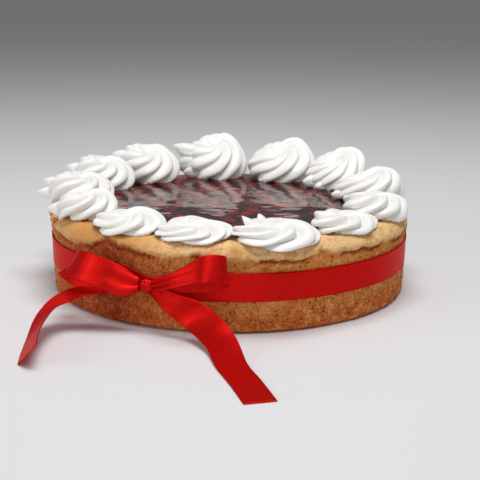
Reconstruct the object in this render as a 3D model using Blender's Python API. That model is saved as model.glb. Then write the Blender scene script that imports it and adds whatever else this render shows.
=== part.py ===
"""A round sour cream cake: a shortcrust case filled with fruit jelly, a ring of
piped cream rosettes on the rim, and a satin ribbon tied round it in a bow.

Metres, +Z up. The origin is the centre of the flat underside. +X is the right
of the cake and -Y is its front, where the bow is.
"""

import math

import bmesh
import bpy
from mathutils import Matrix, Vector

CM = 0.01

# Crust: a low case with a rounded shoulder and a flat rim round a shallow recess.
WALL_RADIUS = 13.0 * CM
BASE_RADIUS = 12.87 * CM
FOOT_RADIUS = 12.6 * CM
FOOT_HEIGHT = 0.2 * CM
RIM_HEIGHT = 5.85 * CM
SHOULDER_WIDTH = 1.0 * CM
SHOULDER_HEIGHT = 0.9 * CM
SHOULDER_STEPS = 4
SHOULDER_DIP = 0.05 * CM
RECESS_RADIUS = 10.3 * CM
RECESS_LIP = 0.1 * CM
RECESS_DEPTH = 1.05 * CM
SIDES = 80

# Jelly, set in the recess with a clearance all round.
CLEARANCE = 0.05 * CM
JELLY_LEVEL = 5.8 * CM
JELLY_EDGE = 0.08 * CM

# Rosettes: each is a fluted dome of piped cream, resting on the rim and the jelly.
REST_HEIGHT = RIM_HEIGHT + 0.04 * CM
LIP_DROP = 0.32 * CM
LIP_START = 12.1 * CM
LIP_END = 13.8 * CM
FLUTES = 8
STEPS_PER_FLUTE = 4
FLUTE_DEPTH = 0.075
RING_TWIST = math.radians(-20.0)
ROSETTE_GAP = 0.04 * CM

# The rings of a rosette from its top to its underside: share of the radius, share of the height.
ROSETTE_RINGS = ((0.15, 1.0), (0.42, 0.93), (0.72, 0.76), (0.93, 0.5), (1.0, 0.24), (0.88, 0.0), (0.45, 0.0))
ROSETTE_TOP = 0.95

# Direction in degrees anticlockwise from +X, distance from the axis, radius and height in cm,
# and how deep the rosette is from the rim inwards, as a share of its width.
ROSETTES = (
    (39.5, 11.2, 2.50, 3.05, 1.0),
    (67.5, 11.4, 2.80, 3.30, 1.0),
    (97.5, 11.4, 3.00, 3.50, 1.0),
    (126.5, 11.5, 2.60, 3.00, 1.0),
    (149.5, 11.7, 2.60, 2.60, 1.0),
    (176.5, 11.3, 2.65, 2.10, 0.95),
    (203.0, 10.9, 2.35, 1.75, 0.85),
    (230.3, 10.7, 2.35, 1.45, 0.82),
    (257.6, 10.7, 2.40, 1.30, 0.80),
    (285.5, 11.05, 2.80, 1.25, 0.82),
    (315.4, 10.65, 2.40, 1.35, 0.80),
    (341.5, 10.9, 2.60, 1.65, 0.90),
    (13.5, 11.0, 2.70, 2.35, 1.0),
)

# Satin ribbon: one width of ribbon for the band, the bow's loops and its tails.
RIBBON_WIDTH = 1.9 * CM
RIBBON_THICKNESS = 0.05 * CM
BAND_BOTTOM = 2.17 * CM
BAND_CLEARANCE = 0.035 * CM
LOOP_STEPS = 36
TAIL_STEPS = 24

# The band is drawn together where it runs into the knot: its share of the width
# there, and how many degrees from the knot it is full width again.
GATHERED_SHARE = 0.5
GATHER_REACH = 10.0

# The knot sits on the band, in this direction from the cake's axis.
KNOT_DIRECTION = math.radians(247.4)
KNOT_RADIUS = 13.56 * CM
KNOT_HEIGHT = 3.1 * CM
KNOT_SIZE = (0.70 * CM, 0.78 * CM, 0.85 * CM)
KNOT_WAIST = 0.82

# A loop's path from the knot, out along the front layer and back along the rear one:
# degrees from the knot, distance from the axis, height and width in cm,
# lean back towards the cake and sideways lean in degrees.
RIGHT_LOOP = (
    (2.2, 13.75, 3.15, 0.75, 10, 0),
    (7.8, 14.45, 3.78, 0.95, 25, 0),
    (12.6, 14.75, 4.36, 1.25, 28, 0),
    (17.4, 14.75, 4.80, 1.75, 27, 0),
    (21.5, 14.25, 4.63, 1.90, 22, 0),
    (18.3, 13.65, 4.03, 1.85, 14, 0),
    (12.6, 13.42, 3.60, 1.50, 8, 0),
    (6.8, 13.40, 3.28, 1.10, 4, 0),
    (2.2, 13.40, 3.10, 0.75, 0, 0),
)
LEFT_LOOP = (
    (-2.2, 13.75, 3.18, 0.90, 10, 0),
    (-5.4, 14.20, 3.28, 1.75, 20, 4),
    (-9.8, 14.60, 3.70, 1.90, 24, 12),
    (-15.0, 14.85, 4.05, 1.90, 25, 22),
    (-20.6, 14.75, 4.05, 1.90, 22, 32),
    (-25.6, 14.20, 3.85, 1.90, 18, 36),
    (-24.0, 13.60, 3.05, 1.90, 10, 32),
    (-16.6, 13.42, 2.98, 1.70, 6, 15),
    (-8.5, 13.40, 3.05, 1.20, 3, 5),
    (-2.2, 13.40, 3.05, 0.75, 0, 0),
)

# A tail's path from under the knot down to the surface that the cake stands on:
# position of its middle line and width in cm, and the direction across it.
RIGHT_TAIL = (
    ((-5.00, -12.75, 2.36), 0.6, (0.30, -0.10, 0.9)),
    ((-3.55, -13.35, 2.10), 1.4, (0.65, -0.10, 0.75)),
    ((-1.95, -14.20, 1.50), 1.9, (0.75, 0.00, 0.6)),
    ((-0.55, -16.20, 0.75), 1.9, (0.88, 0.20, 0.35)),
    ((0.20, -19.00, 0.16), 1.9, (0.93, 0.33, 0.05)),
    ((1.00, -21.60, 0.10), 1.9, (0.93, 0.33, 0.0)),
    ((1.75, -24.40, 0.06), 1.9, (0.94, 0.30, 0.0)),
)
LEFT_TAIL = (
    ((-6.00, -12.23, 2.80), 0.7, (0.00, -0.10, 1.0)),
    ((-7.15, -12.00, 2.75), 1.0, (0.05, -0.40, 0.85)),
    ((-8.35, -11.80, 2.45), 1.5, (0.12, -0.85, 0.12)),
    ((-9.55, -11.60, 2.35), 1.9, (0.20, -0.95, -0.05)),
    ((-10.75, -11.80, 1.95), 1.9, (0.50, -0.80, 0.0)),
    ((-11.60, -13.00, 1.45), 1.9, (0.68, -0.50, 0.4)),
    ((-11.90, -15.00, 0.95), 1.9, (0.65, -0.15, 0.7)),
    ((-11.90, -17.30, 0.79), 1.9, (0.62, 0.0, 0.78)),
    ((-11.65, -19.80, 0.79), 1.9, (0.62, 0.0, 0.78)),
)
# How far a tail's end is cut back at one edge, as a share of its length.
RIGHT_CUT = 0.0
LEFT_CUT = 0.06


def clear_scene():
    for item in list(bpy.data.objects):
        bpy.data.objects.remove(item, do_unlink=True)


def principled(name, colour, roughness, coat=0.0):
    """A material with the part's colour and roughness; nothing on the cake is metal."""
    material = bpy.data.materials.new(name)
    material.use_nodes = True
    shader = material.node_tree.nodes["Principled BSDF"]
    shader.inputs["Base Color"].default_value = (*colour, 1.0)
    shader.inputs["Roughness"].default_value = roughness
    shader.inputs["Metallic"].default_value = 0.0
    shader.inputs["Coat Weight"].default_value = coat
    return material


def add_part(name, bm, material, smooth_angle=40.0):
    """Turn a finished bmesh into a named object with its own material."""
    mesh = bpy.data.meshes.new(name)
    bm.to_mesh(mesh)
    bm.free()
    mesh.shade_smooth()
    mesh.set_sharp_from_angle(angle=math.radians(smooth_angle))
    mesh.materials.append(material)
    part = bpy.data.objects.new(name, mesh)
    bpy.context.scene.collection.objects.link(part)
    return part


def turned_solid(profile, sides):
    """Spin a profile of (radius, height) points, from the axis round to the axis again."""
    bm = bmesh.new()
    verts = [bm.verts.new((radius, 0.0, height)) for radius, height in profile]
    edges = [bm.edges.new(pair) for pair in zip(verts, verts[1:])]
    bmesh.ops.spin(
        bm, geom=verts + edges, cent=(0, 0, 0), axis=(0, 0, 1),
        angle=math.tau, steps=sides, use_merge=True, use_duplicate=False,
    )
    bmesh.ops.remove_doubles(bm, verts=bm.verts, dist=1e-6)
    bmesh.ops.recalc_face_normals(bm, faces=bm.faces)
    return bm


def smoothstep(start, end, value):
    share = min(max((value - start) / (end - start), 0.0), 1.0)
    return share * share * (3.0 - 2.0 * share)


def wall_radius(height):
    """The crust's wall leans out slightly from its foot to its shoulder."""
    top = RIM_HEIGHT - SHOULDER_HEIGHT
    share = min(max((height - FOOT_HEIGHT) / (top - FOOT_HEIGHT), 0.0), 1.0)
    return BASE_RADIUS + share * (WALL_RADIUS - BASE_RADIUS)


def crust_profile():
    """Underside, chamfered foot, wall, elliptical shoulder, rim, lip and floor of the recess."""
    profile = [(0.0, 0.0), (FOOT_RADIUS, 0.0), (BASE_RADIUS, FOOT_HEIGHT)]
    for step in range(SHOULDER_STEPS + 1):
        angle = math.pi / 2 * step / SHOULDER_STEPS
        radius = WALL_RADIUS - SHOULDER_WIDTH * (1.0 - math.cos(angle))
        height = RIM_HEIGHT - SHOULDER_HEIGHT * (1.0 - math.sin(angle))
        profile.append((radius, height))
    floor = RIM_HEIGHT - RECESS_DEPTH
    profile += [
        (RECESS_RADIUS + RECESS_LIP, RIM_HEIGHT),
        (RECESS_RADIUS, RIM_HEIGHT - RECESS_LIP),
        (RECESS_RADIUS, floor),
        (0.0, floor),
    ]
    return profile


def make_crust():
    """The baked case; its shoulder rises and falls a little, as hand-pressed dough does."""
    bm = turned_solid(crust_profile(), SIDES)
    shoulder_base = RIM_HEIGHT - SHOULDER_HEIGHT
    for vert in bm.verts:
        radius = math.hypot(vert.co.x, vert.co.y)
        on_shoulder = radius > RECESS_RADIUS + RECESS_LIP and vert.co.z > shoulder_base + 1e-5
        if on_shoulder:
            angle = math.atan2(vert.co.y, vert.co.x)
            wave = 0.5 + 0.3 * math.sin(3 * angle + 1.0) + 0.2 * math.sin(7 * angle)
            vert.co.z -= SHOULDER_DIP * wave
    return add_part("crust", bm, principled("crust_baked", (0.48, 0.24, 0.09), 0.85))


def make_jelly():
    """The fruit jelly, a disc from the recess's floor up to its level."""
    floor = RIM_HEIGHT - RECESS_DEPTH + CLEARANCE
    radius = RECESS_RADIUS - CLEARANCE
    profile = [
        (0.0, floor),
        (radius, floor),
        (radius, JELLY_LEVEL - JELLY_EDGE),
        (radius - JELLY_EDGE, JELLY_LEVEL),
        (0.0, JELLY_LEVEL),
    ]
    bm = turned_solid(profile, SIDES)
    return add_part("jelly", bm, principled("fruit_jelly", (0.10, 0.01, 0.02), 0.08, coat=0.5), 50.0)


def rosette_centre(row):
    direction, distance = math.radians(row[0]), row[1] * CM
    return Vector((distance * math.cos(direction), distance * math.sin(direction), 0.0))


def rest_height(radius):
    """The underside of the cream: flat on the rim, drooping over the crust's shoulder."""
    return REST_HEIGHT - LIP_DROP * smoothstep(LIP_START, LIP_END, radius)


def keep_apart(offset, reach, centre, others):
    """Press a point of a rosette flat where it would pass into a neighbour."""
    for other_centre, other_reach in others:
        between = other_centre - centre
        limit = between.length * reach / (reach + other_reach) - ROSETTE_GAP / 2
        along = offset.dot(between.normalized())
        if along > limit:
            offset = offset * (limit / along)
    return offset


def make_rosette(index, material):
    """A fluted dome whose ridges wind clockwise as they run outwards from the top."""
    row = ROSETTES[index]
    centre, reach, height = rosette_centre(row), row[2] * CM, row[3] * CM
    outwards = centre.normalized()
    count = len(ROSETTES)
    others = [
        (rosette_centre(ROSETTES[beside % count]), ROSETTES[beside % count][2] * CM)
        for beside in (index - 1, index + 1)
    ]
    ring_count = len(ROSETTE_RINGS)
    bm = bmesh.new()
    bmesh.ops.create_uvsphere(
        bm, u_segments=FLUTES * STEPS_PER_FLUTE, v_segments=ring_count + 1, radius=1.0,
    )
    for vert in bm.verts:
        ring = round(math.acos(max(-1.0, min(1.0, vert.co.z))) / math.pi * (ring_count + 1)) - 1
        if ring < 0:
            vert.co = centre + Vector((0, 0, REST_HEIGHT + height * ROSETTE_TOP))
            continue
        if ring >= ring_count:
            vert.co = centre + Vector((0, 0, rest_height(centre.length)))
            continue
        spread, rise = ROSETTE_RINGS[ring]
        around = math.atan2(vert.co.y, vert.co.x)
        flute = 1.0 + FLUTE_DEPTH * math.cos(FLUTES * around)
        angle = around + RING_TWIST * ring + math.radians(37.0) * index
        offset = Vector((math.cos(angle), math.sin(angle), 0.0)) * (reach * spread * flute)
        offset += outwards * (offset.dot(outwards) * (row[4] - 1.0))
        offset = keep_apart(offset, reach, centre, others)
        foot = rest_height((centre + offset).length)
        vert.co = centre + offset + Vector((0, 0, foot + (REST_HEIGHT + height - foot) * rise))
    return add_part(f"rosette_{index + 1:02d}", bm, material, 60.0)


def spline(values, share):
    """A smooth curve through evenly spaced values (Catmull-Rom), share running from 0 to 1."""
    last = len(values) - 1
    place = share * last
    start = min(int(place), last - 1)
    t = place - start
    before = values[max(start - 1, 0)]
    here, there = values[start], values[start + 1]
    after = values[min(start + 2, last)]
    return (
        here * 2.0
        + (there - before) * t
        + (before * 2.0 - here * 5.0 + there * 4.0 - after) * (t * t)
        + (here * 3.0 - before - there * 3.0 + after) * (t * t * t)
    ) * 0.5


def ribbon_strip(name, middles, acrosses, widths, steps, cut, material):
    """A strip of ribbon along a smooth middle line, turned into a thin solid."""
    bm = bmesh.new()
    bmesh.ops.create_grid(bm, x_segments=steps, y_segments=2, size=1.0)
    nudge = 0.5 / steps
    for vert in bm.verts:
        side = vert.co.y
        share = (vert.co.x + 1.0) / 2.0 * (1.0 - cut * (1.0 - side) / 2.0)
        middle = spline(middles, share)
        ahead = spline(middles, min(share + nudge, 1.0)) - spline(middles, max(share - nudge, 0.0))
        ahead.normalize()
        across = spline(acrosses, share)
        across = (across - ahead * across.dot(ahead)).normalized()
        vert.co = middle + across * (side * spline(widths, share) / 2.0)
    part = add_part(name, bm, material, 60.0)
    wall = part.modifiers.new("thickness", "SOLIDIFY")
    wall.thickness = RIBBON_THICKNESS
    wall.offset = 0.0
    return part


def make_loop(name, rows, material):
    """A loop of the bow, given by places round the cake and the ribbon's lean."""
    middles, acrosses, widths = [], [], []
    for degrees, radius, height, width, lean, sideways in rows:
        direction = KNOT_DIRECTION + math.radians(degrees)
        outwards = Vector((math.cos(direction), math.sin(direction), 0.0))
        along = Vector((-math.sin(direction), math.cos(direction), 0.0))
        middles.append(outwards * (radius * CM) + Vector((0, 0, height * CM)))
        across = Vector((0, 0, 1)) - outwards * math.tan(math.radians(lean))
        acrosses.append(across + along * math.tan(math.radians(sideways)))
        widths.append(width * CM)
    return ribbon_strip(name, middles, acrosses, widths, LOOP_STEPS, 0.0, material)


def make_tail(name, rows, cut, material):
    middles = [Vector(row[0]) * CM for row in rows]
    widths = [row[1] * CM for row in rows]
    acrosses = [Vector(row[2]) for row in rows]
    return ribbon_strip(name, middles, acrosses, widths, TAIL_STEPS, cut, material)


def make_band(material):
    """The ribbon round the wall, a thin sleeve that leans with it and narrows at the knot."""
    top = BAND_BOTTOM + RIBBON_WIDTH
    inner = BAND_CLEARANCE
    outer = BAND_CLEARANCE + RIBBON_THICKNESS
    corners = ((inner, BAND_BOTTOM), (outer, BAND_BOTTOM), (outer, top), (inner, top))
    bm = bmesh.new()
    verts = [bm.verts.new((wall_radius(height) + gap, 0.0, height)) for gap, height in corners]
    edges = [bm.edges.new(pair) for pair in zip(verts, verts[1:] + verts[:1])]
    bmesh.ops.spin(
        bm, geom=verts + edges, cent=(0, 0, 0), axis=(0, 0, 1),
        angle=math.tau, steps=SIDES, use_merge=True, use_duplicate=False,
    )
    bmesh.ops.recalc_face_normals(bm, faces=bm.faces)
    for vert in bm.verts:
        direction = math.atan2(vert.co.y, vert.co.x)
        away = abs(math.degrees(math.remainder(direction - KNOT_DIRECTION, math.tau)))
        width = GATHERED_SHARE + (1.0 - GATHERED_SHARE) * smoothstep(0.0, GATHER_REACH, away)
        gap = math.hypot(vert.co.x, vert.co.y) - wall_radius(vert.co.z)
        height = KNOT_HEIGHT + (vert.co.z - KNOT_HEIGHT) * width
        radius = wall_radius(height) + gap
        vert.co = (radius * math.cos(direction), radius * math.sin(direction), height)
    return add_part("ribbon_band", bm, material, 40.0)


def make_knot(material):
    """The knot: a rounded block drawn in at its middle by the turn of ribbon over it."""
    bm = bmesh.new()
    bmesh.ops.create_cube(bm, size=1.0)
    bmesh.ops.subdivide_edges(bm, edges=bm.edges, cuts=1, use_grid_fill=True)
    bmesh.ops.bevel(
        bm, geom=[edge for edge in bm.edges if edge.calc_face_angle(0.0) > 1.0],
        offset=0.22, offset_type="OFFSET", segments=3, profile=0.5, affect="EDGES", material=-1,
    )
    for vert in bm.verts:
        pull = KNOT_WAIST + (1.0 - KNOT_WAIST) * min(abs(vert.co.x) * 2.0, 1.0)
        vert.co.z *= pull
    bmesh.ops.scale(bm, vec=KNOT_SIZE, verts=bm.verts)
    knot = add_part("bow_knot", bm, material, 60.0)
    outwards = Vector((math.cos(KNOT_DIRECTION), math.sin(KNOT_DIRECTION), 0.0))
    knot.location = outwards * KNOT_RADIUS + Vector((0, 0, KNOT_HEIGHT))
    knot.rotation_euler = Matrix.Rotation(KNOT_DIRECTION + math.pi / 2, 3, "Z").to_euler()
    return knot


def main():
    clear_scene()
    make_crust()
    make_jelly()
    cream = principled("whipped_cream", (0.86, 0.84, 0.79), 0.45)
    for index in range(len(ROSETTES)):
        make_rosette(index, cream)
    satin = principled("red_satin", (0.62, 0.01, 0.015), 0.32)
    make_band(satin)
    make_knot(satin)
    make_loop("bow_loop_right", RIGHT_LOOP, satin)
    make_loop("bow_loop_left", LEFT_LOOP, satin)
    make_tail("ribbon_tail_right", RIGHT_TAIL, RIGHT_CUT, satin)
    make_tail("ribbon_tail_left", LEFT_TAIL, LEFT_CUT, satin)


main()
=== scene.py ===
# %% [markdown]
# # A sour cream cake with piped rosettes and a satin bow
#
# The real cake is a low shortcrust case, baked in a round tin. It is filled with fruit
# that is set in a clear red jelly, has a ring of piped cream roses on its rim, and wears
# a satin ribbon that is tied in a bow.
#
# The frame gives a plain solid for each of these pieces, at its true size and place. This
# lesson replaces every one of them with a detailed mesh, and gives each its own finish.
# Lengths are in metres, and CM turns centimetres into them.

# %% Load the frame
import math
import random

import bmesh
import bpy
from mathutils import Matrix, Vector, noise


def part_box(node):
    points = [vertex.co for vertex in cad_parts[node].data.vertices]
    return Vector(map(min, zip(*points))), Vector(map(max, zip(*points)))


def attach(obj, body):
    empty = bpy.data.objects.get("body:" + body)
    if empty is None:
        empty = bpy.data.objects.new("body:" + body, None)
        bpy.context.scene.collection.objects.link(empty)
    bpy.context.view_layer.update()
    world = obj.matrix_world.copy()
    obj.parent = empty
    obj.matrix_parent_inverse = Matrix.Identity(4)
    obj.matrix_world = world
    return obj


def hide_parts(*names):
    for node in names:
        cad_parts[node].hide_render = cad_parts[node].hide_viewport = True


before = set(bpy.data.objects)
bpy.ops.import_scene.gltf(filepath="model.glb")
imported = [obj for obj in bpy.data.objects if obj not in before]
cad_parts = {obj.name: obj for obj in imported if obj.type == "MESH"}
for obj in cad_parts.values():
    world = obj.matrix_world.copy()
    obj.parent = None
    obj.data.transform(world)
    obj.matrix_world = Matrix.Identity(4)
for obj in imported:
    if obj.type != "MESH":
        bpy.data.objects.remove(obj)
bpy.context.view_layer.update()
CM = 0.01
print("nodes in the frame:", len(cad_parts))

# %% [markdown]
# ## The camera
#
# The cake is seen from a little above, as by someone who sits at the table. A long lens
# keeps the round cake from looking swollen. The camera's direction is given by how far it
# looks down and to the side, and the small roll is a rotation about its own view axis.

# %% Place the camera
CAMERA_PLACE = (0.0, -0.79606, 0.22624)
LOOK_DOWN = 0.241
LOOK_ASIDE = 0.010
ROLL = 0.011
LENS = 82.23
SENSOR = 36.0

camera_data = bpy.data.cameras.new("camera")
camera_data.lens = LENS
camera_data.sensor_width = SENSOR
camera = bpy.data.objects.new("camera", camera_data)
bpy.context.scene.collection.objects.link(camera)
view_direction = Vector((
    math.sin(LOOK_ASIDE) * math.cos(LOOK_DOWN),
    math.cos(LOOK_ASIDE) * math.cos(LOOK_DOWN),
    -math.sin(LOOK_DOWN),
))
turn = view_direction.to_track_quat("-Z", "Y").to_matrix() @ Matrix.Rotation(ROLL, 3, "Z")
camera.matrix_world = Matrix.Translation(CAMERA_PLACE) @ turn.to_4x4()
bpy.context.scene.camera = camera
print("camera looks down by", round(math.degrees(LOOK_DOWN), 1), "degrees")

# %% [markdown]
# ## Helpers for meshes
#
# Every piece is shaped in a bmesh and then handed over in the same way: it becomes an
# object, rides on the cake's one body, hides the plain solids it replaces, and gets the
# material it is given. The round pieces start as a profile that is spun round the cake's
# axis. A modifier that makes new geometry, such as Solidify, is applied, so that the mesh
# itself holds the geometry that shows.

# %% Helper: spin a profile round the cake's axis
def spun(profile, steps):
    """A bmesh whose profile is a list of distances from the axis and heights."""
    bm = bmesh.new()
    verts = [bm.verts.new((radius, 0.0, height)) for radius, height in profile]
    edges = [bm.edges.new(pair) for pair in zip(verts, verts[1:])]
    bmesh.ops.spin(
        bm, geom=verts + edges, cent=(0, 0, 0), axis=(0, 0, 1),
        angle=math.tau, steps=steps, use_merge=True, use_duplicate=False,
    )
    bmesh.ops.remove_doubles(bm, verts=bm.verts, dist=1e-6)
    bmesh.ops.recalc_face_normals(bm, faces=bm.faces)
    return bm


# %% Helpers: hand over a piece, and apply its modifiers
def add_piece(name, bm, material, replaced=()):
    mesh = bpy.data.meshes.new(name)
    bm.to_mesh(mesh)
    bm.free()
    mesh.shade_smooth()
    mesh.materials.append(material)
    piece = bpy.data.objects.new(name, mesh)
    bpy.context.scene.collection.objects.link(piece)
    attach(piece, "root")
    if replaced:
        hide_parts(*replaced)
    return piece


def apply_modifiers(piece):
    graph = bpy.context.evaluated_depsgraph_get()
    finished = bpy.data.meshes.new_from_object(piece.evaluated_get(graph))
    before = piece.data
    piece.modifiers.clear()
    piece.data = finished
    bpy.data.meshes.remove(before)
    finished.shade_smooth()


def triangles(piece):
    return sum(len(face.vertices) - 2 for face in piece.data.polygons)


# %% Helpers: smooth steps and bells for the formulas
def smoothstep(start, end, value):
    share = min(max((value - start) / (end - start), 0.0), 1.0)
    return share * share * (3.0 - 2.0 * share)


def bell(value, middle, width):
    """1 at the middle, falling smoothly to nothing about two widths away."""
    return math.exp(-((value - middle) / width) ** 2)


def polar(radius, angle, height):
    return Vector((radius * math.cos(angle), radius * math.sin(angle), height))


DRIFT_SHIFTS = (Vector((0.0, 0.0, 0.0)), Vector((31.4, 7.7, 19.2)), Vector((11.9, 43.1, 5.6)))


def drift(place):
    """A smooth random vector, the same at every run; its parts lie between -1 and 1."""
    return Vector([noise.noise(place + shift) for shift in DRIFT_SHIFTS])


# %% [markdown]
# ## Helpers for materials
#
# A material is a small tree of nodes. Writing one is easier to read when a node is added
# and wired in one call: a value that is itself a socket is linked, and any other value is
# set. Names that start with a capital letter are sockets, the others are settings.

# %% Helpers: add nodes to a tree
def wire(tree, value, socket):
    if isinstance(value, bpy.types.NodeSocket):
        tree.links.new(value, socket)
    else:
        socket.default_value = value


def put(tree, kind, **values):
    node = tree.nodes.new("ShaderNode" + kind)
    for name, value in values.items():
        if name[0].islower():
            setattr(node, name, value)
        else:
            wire(tree, value, node.inputs[name.replace("_", " ")])
    return node


def arithmetic(tree, operation, first, second=0.0):
    node = put(tree, "Math", operation=operation)
    wire(tree, first, node.inputs[0])
    wire(tree, second, node.inputs[1])
    return node.outputs[0]


def mixed(tree, share, first, second, mode="MIX"):
    """The colour between first and second at that share."""
    node = put(tree, "Mix", data_type="RGBA", blend_type=mode)
    wire(tree, share, node.inputs[0])
    wire(tree, first, node.inputs[6])
    wire(tree, second, node.inputs[7])
    return node.outputs[2]


def ranged(tree, value, low, high, to_low=0.0, to_high=1.0):
    """The value's place between low and high, as a smooth step from to_low to to_high."""
    node = put(tree, "MapRange", interpolation_type="SMOOTHSTEP")
    for socket, number in zip(node.inputs, (value, low, high, to_low, to_high)):
        wire(tree, number, socket)
    return node.outputs["Result"]


# %% Helpers: start a material
def rgb(red, green, blue):
    return (red, green, blue, 1.0)


def new_material(name):
    """A node material with its tree, its Principled shader and its object coordinates."""
    material = bpy.data.materials.new(name)
    material.use_nodes = True
    tree = material.node_tree
    shader = tree.nodes["Principled BSDF"]
    place = put(tree, "TexCoord").outputs["Object"]
    return material, tree, shader, place


def noise_mask(tree, place, per_metre, low, high, detail=3.0):
    """A soft-edged blotchy mask; its blotches are about 1 / per_metre across."""
    texture = put(tree, "TexNoise", Vector=place, Scale=per_metre, Detail=detail)
    return ranged(tree, texture.outputs["Fac"], low, high)


# %% [markdown]
# ## A shared effect: sandy grain
#
# Baked shortcrust is a mass of small crumbs. Close up it shows pale sugary grains, and
# pits between them that lie in shade. The case and the loose crumbs share this effect, so
# it is a node group: a Voronoi texture makes the grains, a coarse noise decides where they
# lie, and a fine one makes the pits, where the bump is low. The group puts out masks and a
# height, and each material picks its own colours; the case paints the pits with shade.

# %% Node group: sandy grain
def make_grain_group():
    group = bpy.data.node_groups.new("sandy grain", "ShaderNodeTree")
    group.interface.new_socket("Place", in_out="INPUT", socket_type="NodeSocketVector")
    group.interface.new_socket("Per metre", in_out="INPUT", socket_type="NodeSocketFloat")
    for name in ("Pale", "Pit", "Height"):
        group.interface.new_socket(name, in_out="OUTPUT", socket_type="NodeSocketFloat")
    inside = group.nodes.new("NodeGroupInput")
    outside = group.nodes.new("NodeGroupOutput")
    place, per_metre = inside.outputs["Place"], inside.outputs["Per metre"]
    patch_scale = arithmetic(group, "MULTIPLY", per_metre, 0.3)
    cells = put(group, "TexVoronoi", Vector=place, Scale=per_metre)
    patches = put(group, "TexNoise", Vector=place, Scale=patch_scale, Detail=3.0)
    speckle = put(group, "TexNoise", Vector=place, Scale=per_metre, Detail=2.0, Roughness=0.7)
    rounded = ranged(group, cells.outputs["Distance"], 0.1, 0.75, 1.0, 0.0)
    pale = arithmetic(group, "MULTIPLY", rounded, ranged(group, patches.outputs["Fac"], 0.44, 0.62))
    # The pits lie where the bump is low between grains; the case paints them with shade.
    pit = arithmetic(
        group, "MULTIPLY",
        ranged(group, speckle.outputs["Fac"], 0.50, 0.36),
        ranged(group, patches.outputs["Fac"], 0.62, 0.42),
    )
    height = arithmetic(group, "ADD", rounded, speckle.outputs["Fac"])
    for name, result in (("Pale", pale), ("Pit", pit), ("Height", height)):
        group.links.new(result, outside.inputs[name])
    return group


grain_group = make_grain_group()


def put_grain(tree, place, per_metre):
    node = put(tree, "Group", node_tree=grain_group)
    wire(tree, place, node.inputs["Place"])
    wire(tree, per_metre, node.inputs["Per metre"])
    return node


group_sockets = grain_group.nodes["Group Output"].inputs
print("grain group puts out:", [socket.name for socket in group_sockets][:3])

# %% [markdown]
# ## The shortcrust case: its finish
#
# The case has two looks. Its wall baked against the tin and is brown, sandy and pitted,
# browner towards the foot; the dark in its pits is painted shade. On the left, behind the
# bow, it is reddest: partly real browning, partly painted shade of the bow and painted red
# light bounced off the satin. Above it the dough puffed up free of the tin, and is a
# smoother tan with small brown flecks, redder on the left in the same way. Cracks between
# the two are a dark red-brown, where the sugar caught. The mesh says which is which in
# two attributes, "dough" and "crack", so the colours follow the shape exactly.

# %% Material: baked crust
TAN = rgb(0.82, 0.530, 0.245)
TAN_BROWNED = rgb(0.52, 0.225, 0.058)
WALL_BROWN = rgb(0.68, 0.245, 0.050)
FOOT_BROWN = rgb(0.55, 0.128, 0.020)
# Partly real browning, partly painted shade of the bow, tinted by red light off the satin.
SIDE_RED_AND_BOW_SHADE = rgb(0.36, 0.045, 0.006)
GRAIN_PALE = rgb(0.78, 0.47, 0.20)
# Painted shade for the pits between the grains.
PIT_SHADE = rgb(0.15, 0.034, 0.008)
CRACK_RED = rgb(0.24, 0.034, 0.007)


def attribute(tree, name):
    return put(tree, "Attribute", attribute_name=name).outputs["Fac"]


RED_STARTS, RED_FULL = -2.0 * CM, -7.5 * CM
RED_FADES, RED_FADED = -9.5 * CM, -12.8 * CM
REDDEST = 0.85
FOOT_TONE_STARTS, FOOT_TONE_FULL = 2.6 * CM, 0.6 * CM


# The red behind the bow is partly painted: the bow's shade, tinted by red light bounced off the
# satin.
def red_side_and_bow_shade(tree, place):
    """Red on the left behind the bow, less at the far left: partly browning, partly painted bow
    shade.
    """
    across = put(tree, "SeparateXYZ", Vector=place).outputs["X"]
    return arithmetic(
        tree, "MULTIPLY",
        ranged(tree, across, RED_STARTS, RED_FULL, 0.0, REDDEST),
        ranged(tree, across, RED_FADED, RED_FADES, 0.35, 1.0),
    )


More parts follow.
